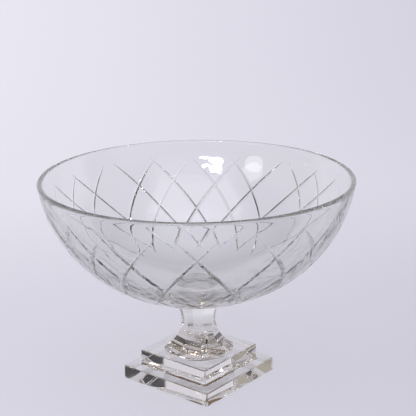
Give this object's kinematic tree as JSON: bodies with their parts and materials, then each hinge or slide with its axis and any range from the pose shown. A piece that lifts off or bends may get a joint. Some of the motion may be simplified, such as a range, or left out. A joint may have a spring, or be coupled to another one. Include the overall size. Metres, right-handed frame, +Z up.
{
  "type": "footed trifle bowl",
  "caption": "Wide round cut glass serving bowl with a lattice of mitre cuts, on a waisted faceted stem and a stepped square plinth.",
  "frame": {"origin": "middle of the underside of the plinth, on the surface that it stands on", "axes": "+Z up along the axis of the bowl and the stem, X and Y square to the sides of the plinth"},
  "size_m": [0.25, 0.25, 0.17],
  "materials": {
    "bowl_glass": "polished",
    "foot_glass": "polished"
  },
  "bodies": {
    "root": {"cut_bowl": "bowl_glass", "joining_wafer": "foot_glass", "faceted_stem": "foot_glass", "stepped_plinth": "foot_glass"}
  },
  "joints": []
}
